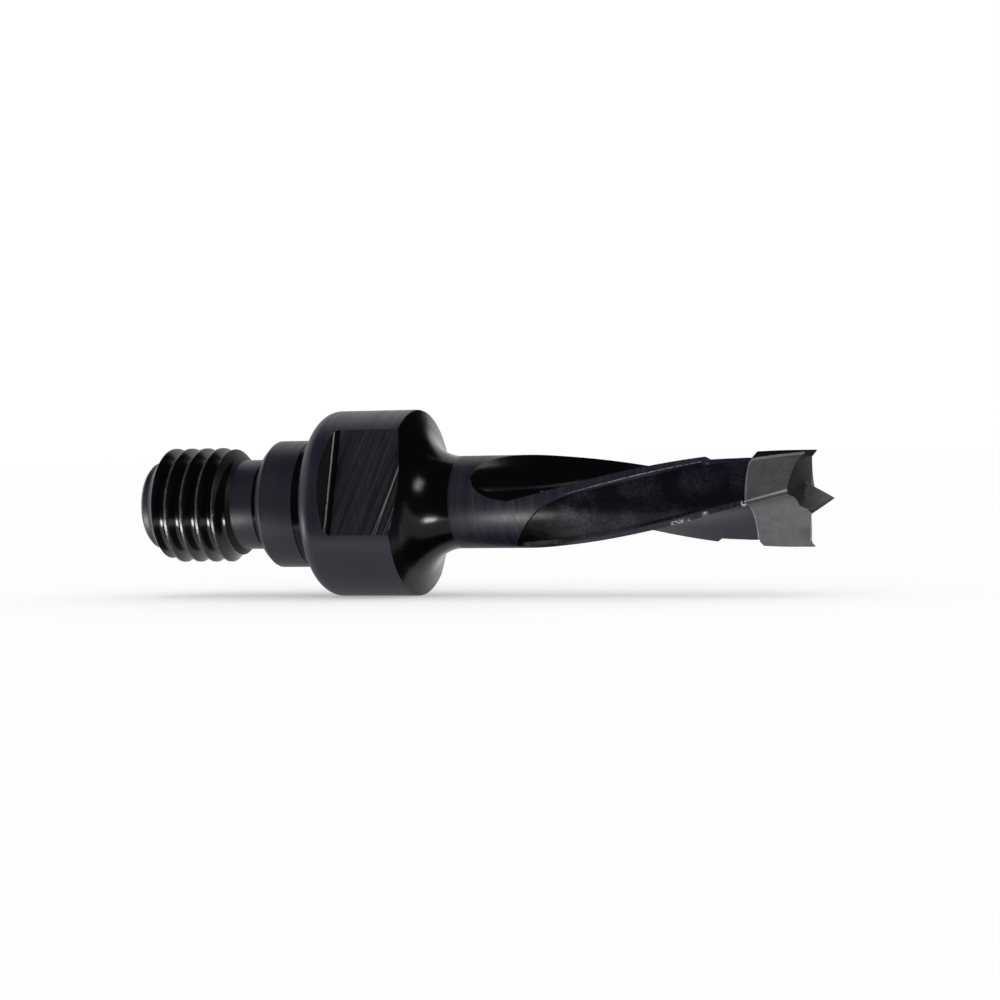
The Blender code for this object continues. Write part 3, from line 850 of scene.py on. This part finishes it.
def cleared_steel():
    """The cleared land: a pointed start painted black as shade, then a rough satin surface."""
    material, shader = surface("blackened_cleared", DARK, 0.4)
    lumps = grain(material, 5.0, 4.0, 0.7)
    broad = between(material, grain(material, 0.35, 2.0, 0.5), 0.3, 1.0, 0.42, 0.58)
    fine = between(material, grain(material, 4.0, 5.0, 0.75), 0.35, 1.0, 0.40, 0.60)
    patches = product(material, broad, fine)
    # Painted shade: the cleared land's pointed start is black, fading out along the tool.
    settled = between(material, along_tool(material), 0.0, 1.0, *CLEARED_SHADE_FADE)
    factor = product(material, settled, patches)
    link(material, tint(material, factor, BLACK, DARK_CLEARED), shader.inputs["Base Color"])
    level = between(material, factor, 0.12, 0.62, 0.0, 1.0)
    link(material, level, shader.inputs["Specular IOR Level"])
    link(material, between(material, patches, 0.28, 0.46, 0.0, 1.0), shader.inputs["Roughness"])
    first = bumped(material, shader, lumps, 0.008)
    bumped(material, shader, grain(material, 16.0), 0.003, first)
    return material


def milled_steel():
    """The wrench flats, with steep marks and a few deep grooves from the milling cutter."""
    material, shader = surface("blackened_milled", DARK, 0.4, specular=0.4)
    marks = grain(material, 4.5, 5.0, 0.8, stretch=(0.022, 1.0, 1.0), turn=MILLING_TURN)
    ridges = grain(material, 1.4, 0.0, 0.3, stretch=(0.012, 1.0, 1.0), turn=MILLING_TURN)
    towards_tip = between(material, along_tool(material), 0.0, 1.0, *GROOVES)
    clear = between(material, marks, 0.0, 1.0, 0.40, 0.66)
    color = tint(material, clear, BLACK, MARK_GREY)
    lines = (GROOVE_LEVEL, GROOVE_WIDTH, BLACK), (BURR_LEVEL, BURR_WIDTH, CREST_HIGHLIGHT_AND_BURR_GREY)
    for level, width, shade in lines:
        near = node(material, "ShaderNodeMath", operation="COMPARE")
        near.inputs[1].default_value = level
        near.inputs[2].default_value = width
        link(material, ridges, near.inputs[0])
        cover = product(material, near.outputs[0], towards_tip)
        color = tint(material, cover, color, shade)
    link(material, color, shader.inputs["Base Color"])
    link(material, between(material, marks, 0.32, 0.48), shader.inputs["Roughness"])
    first = bumped(material, shader, marks, 0.030)
    bumped(material, shader, grain(material, 14.0), 0.003, first)
    return material


def run_out_steel():
    """The turned slope where the thread runs out, blacker than the turned steel."""
    material, shader = surface("blackened_run_out", BLACK, 0.5, specular=0.25)
    bumped(material, shader, grain(material, 8.0, 3.0, 0.6), 0.003)
    return material


def thread_steel():
    material, shader = surface("blackened_thread", BLACK, 0.18)
    fine = grain(material, 6.0, 3.0, 0.6)
    link(material, between(material, fine, 0.12, 0.24), shader.inputs["Roughness"])
    bumped(material, shader, fine, 0.003)
    return material


def from_axis(material):
    """How far a place lies from the tool's axis, in metres."""
    shift = node(material, "ShaderNodeMapping")
    shift.inputs["Location"].default_value = (0.0, 0.0, -AXIS_Z)
    shift.inputs["Scale"].default_value = (0.0, 1.0, 1.0)
    link(material, own_place(material), shift.inputs["Vector"])
    length = node(material, "ShaderNodeVectorMath", operation="LENGTH")
    link(material, shift.outputs["Vector"], length.inputs[0])
    return length.outputs["Value"]


def painted_highlight_steel(name, color, rims_only=False):
    """Steel with a painted highlight along an edge, broken up by noise."""
    material, shader = surface(name, color, 0.34, metallic=0.5)
    painted_light_share = between(material, grain(material, 4.0, 4.0, 0.7), 0.0, 1.0, 0.35, 0.65)
    if rims_only:
        outermost = between(material, from_axis(material), 0.0, 1.0, *STEP_HIGHLIGHT_REACH)
        painted_light_share = product(material, painted_light_share, outermost)
    link(material, tint(material, painted_light_share, DARK_WORN_AND_SHEEN, color), shader.inputs["Base Color"])
    return material


def spattered_steel():
    """Worn steel with bright specks of solder."""
    material, shader = surface("solder_specks", DARK_WORN_AND_SHEEN, 0.3)
    fine = between(material, grain(material, 5.0, 3.0, 0.6), 0.0, 1.0, 0.44, 0.60)
    broad = between(material, grain(material, 0.9, 2.0, 0.5), 0.0, 1.0, 0.30, 0.46)
    specks = product(material, broad, fine)
    link(material, tint(material, specks, DARK_WORN_AND_SHEEN, SOLDER_BRIGHT), shader.inputs["Base Color"])
    link(material, specks, shader.inputs["Metallic"])
    bumped(material, shader, specks, 0.02)
    return material


def carbide(name, greys, metallic, turn):
    """Tungsten carbide with the fine lines of the grinding wheel, turned by some degrees."""
    dark, light = greys
    material, shader = surface(name, light, 0.36, metallic)
    turned = (0.0, radians(turn), 0.0)
    lines = grain(material, 9.0, 4.0, 0.65, stretch=(0.08, 1.0, 1.0), turn=turned)
    blotch = grain(material, 1.2, 3.0, 0.5)
    factor = product(material, between(material, lines, 0.75, 1.25), blotch)
    link(material, tint(material, factor, dark, light), shader.inputs["Base Color"])
    link(material, between(material, lines, 0.30, 0.46), shader.inputs["Roughness"])
    bumped(material, shader, lines, 0.003)
    return material


def solder():
    material, shader = surface("silver_solder", SOLDER_BRIGHT, 0.3, metallic=1.0)
    lumps = grain(material, 3.0, 2.0, 0.5)
    color = tint(material, lumps, SOLDER_DARK, SOLDER_BRIGHT)
    link(material, color, shader.inputs["Base Color"])
    bumped(material, shader, lumps, 0.02)
    return material


# Stage and light.


def plain_card(name, points, faces, glow=0.0):
    """A card that only reflections see: black, or glowing at this strength."""
    mesh = bpy.data.meshes.new(name)
    mesh.from_pydata(points, [], faces)
    card = bpy.data.objects.new(name, mesh)
    bpy.context.scene.collection.objects.link(card)
    material, shader = surface(name, (0.0, 0.0, 0.0), 1.0, specular=0.0)
    if glow:
        shader.inputs["Emission Color"].default_value = (*LAMP_COLOR, 1.0)
        shader.inputs["Emission Strength"].default_value = glow
    mesh.materials.append(material)
    card.visible_camera = False
    card.visible_diffuse = False
    card.visible_shadow = False
    return card


def black_cards():
    """A hood before and over the tool, a wing past its tip and a fence behind its flutes."""
    points = [(x, y, z) for x in (-HOOD_HALF_LENGTH, HOOD_HALF_LENGTH) for y, z in HOOD_SECTION]
    count = len(HOOD_SECTION)
    faces = [(i, i + 1, i + 1 + count, i + count) for i in range(count - 1)]
    plain_card("black_hood", points, faces)
    points = [(x, y, WING_FLOOR_Z) for x, y in WING_CORNERS]
    plain_card("black_wing_floor", points, [tuple(range(len(points)))])
    points = [(WING_X, y, z) for z in (0.0, WING_HEIGHT) for y in WING_REACH]
    plain_card("black_wing", points, [(0, 1, 3, 2)])
    points = [(x, FENCE_Y, z) for z in FENCE_Z for x in FENCE_X]
    plain_card("black_fence", points, [(0, 1, 3, 2)])


def light_strip(name, along, across, z, glow):
    """A level glowing strip, between two places along X and two along Y."""
    points = [(x, y, z) for x in along for y in across]
    plain_card(name, points, [(0, 1, 3, 2)], glow)


def lamp(name, centre, width, height, glow):
    """An upright glowing card that faces the tool."""
    centre = Vector(centre)
    away = Vector((centre.x, centre.y, 0.0)).normalized()
    across = Vector((-away.y, away.x, 0.0)) * width / 2
    upwards = Vector((0.0, 0.0, height / 2))
    points = [
        centre - across - upwards,
        centre + across - upwards,
        centre + across + upwards,
        centre - across + upwards,
    ]
    plain_card(name, points, [(0, 1, 2, 3)], glow)


def seen_or_reflected(owner):
    """One for the rays by which a thing is seen, reflected or seen through glass."""
    path = node(owner, "ShaderNodeLightPath")
    seen = node(owner, "ShaderNodeMath", operation="MAXIMUM")
    link(owner, path.outputs["Is Camera Ray"], seen.inputs[0])
    link(owner, path.outputs["Is Glossy Ray"], seen.inputs[1])
    either = node(owner, "ShaderNodeMath", operation="MAXIMUM")
    link(owner, seen.outputs[0], either.inputs[0])
    link(owner, path.outputs["Is Transmission Ray"], either.inputs[1])
    return either.outputs[0]


def floor():
    mesh = bpy.data.meshes.new("floor")
    reach = FLOOR_REACH
    corners = [(-reach, -reach, 0), (reach, -reach, 0), (reach, reach, 0), (-reach, reach, 0)]
    mesh.from_pydata(corners, [], [(0, 1, 2, 3)])
    ground = bpy.data.objects.new("floor", mesh)
    bpy.context.scene.collection.objects.link(ground)
    material, shader = surface("pale_floor", FLOOR_COLOR, 0.9, specular=0.0)
    shader.inputs["Emission Color"].default_value = (1.0, 1.0, 1.0, 1.0)
    share = node(material, "ShaderNodeMath", operation="MULTIPLY")
    share.inputs[1].default_value = FLOOR_GLOW
    link(material, seen_or_reflected(material), share.inputs[0])
    link(material, share.outputs[0], shader.inputs["Emission Strength"])
    mesh.materials.append(material)


def sky():
    """White where it is seen or reflected, and a plain light where it lights."""
    world = bpy.data.worlds.new("sky")
    world.use_nodes = True
    bpy.context.scene.world = world
    background = world.node_tree.nodes["Background"]
    background.inputs["Color"].default_value = (1.0, 1.0, 1.0, 1.0)
    strength = node(world, "ShaderNodeMapRange")
    strength.inputs["To Min"].default_value = SKY_LIGHT
    strength.inputs["To Max"].default_value = 1.0
    link(world, seen_or_reflected(world), strength.inputs["Value"])
    link(world, strength.outputs["Result"], background.inputs["Strength"])


def camera():
    """The photograph's view: almost level, with the tip turned towards the lens."""
    data = bpy.data.cameras.new("camera")
    data.sensor_width = 36.0
    data.lens = LENS_PER_WIDTH * data.sensor_width
    data.clip_start = 0.01
    azimuth, elevation = radians(CAMERA_AZIMUTH), radians(CAMERA_ELEVATION)
    back = Vector(
        (sin(azimuth) * cos(elevation), -cos(azimuth) * cos(elevation), sin(elevation))
    )
    right = Vector((cos(azimuth), sin(azimuth), 0.0))
    up = back.cross(right)
    roll = radians(CAMERA_ROLL)
    turned_right = cos(roll) * right + sin(roll) * up
    turned_up = cos(roll) * up - sin(roll) * right
    turned = Matrix((turned_right, turned_up, back)).transposed().to_4x4()
    obj = bpy.data.objects.new("camera", data)
    obj.matrix_world = Matrix.Translation(CAMERA_TARGET + CAMERA_DISTANCE * back) @ turned
    bpy.context.scene.collection.objects.link(obj)
    bpy.context.scene.camera = obj


def in_order(slots):
    """The materials of a piece in the order of their slots."""
    return [slots[slot] for slot in sorted(slots)]


def declare(piece, node_name):
    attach(piece, "root")
    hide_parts(node_name)


def main():
    bpy.context.scene.view_settings.view_transform = "Standard"
    satin = satin_steel("blackened_satin", ring_depth=0.002, ring_tint=0.1)
    steel = {
        SATIN: satin,
        GLOSS: glossy_steel(),
        MILLED: milled_steel(),
        NECK: satin_steel("blackened_neck", ring_depth=0.010, ring_tint=0.8, specular=0.38),
        FLUTE: flute_steel(),
        CLEARED: cleared_steel(),
        EDGE: painted_highlight_steel("step_highlight", STEP_HIGHLIGHT_GREY, rims_only=True),
        SPATTER: spattered_steel(),
    }
    threads = {
        THREADED: thread_steel(),
        CHAMFER: satin,
        CREST: painted_highlight_steel("crest_highlight", CREST_HIGHLIGHT_AND_BURR_GREY),
        RUN_OUT: run_out_steel(),
    }
    ground = {
        FLANK: carbide("carbide_flank", FLANK_GREYS, metallic=0.3, turn=-12.0),
        FACE: carbide("carbide_face", FACE_LIT_GREYS, metallic=0.5, turn=-70.0),
        END: carbide("carbide_end", END_GREYS, metallic=0.4, turn=-85.0),
        MARGIN: carbide("carbide_margin", MARGIN_SHADE_GREYS, metallic=0.0, turn=0.0),
        RIM_HIGHLIGHT: carbide("carbide_rim_highlight", RIM_HIGHLIGHT_GREYS, metallic=0.5, turn=0.0),
    }
    declare(steel_body(in_order(steel)), "steel_body")
    declare(thread(in_order(threads)), "steel_body")
    declare(braze_layer([solder()]), "braze_layer")
    declare(carbide_head(in_order(ground)), "carbide_head")
    floor()
    black_cards()
    light_strip("low_strip", *LOW_STRIP)
    light_strip("thread_light", *THREAD_LIGHT)
    light_strip("flare_light", *FLARE_LIGHT)
    lamp("side_lamp", *SIDE_LAMP)
    sky()
    camera()


main()
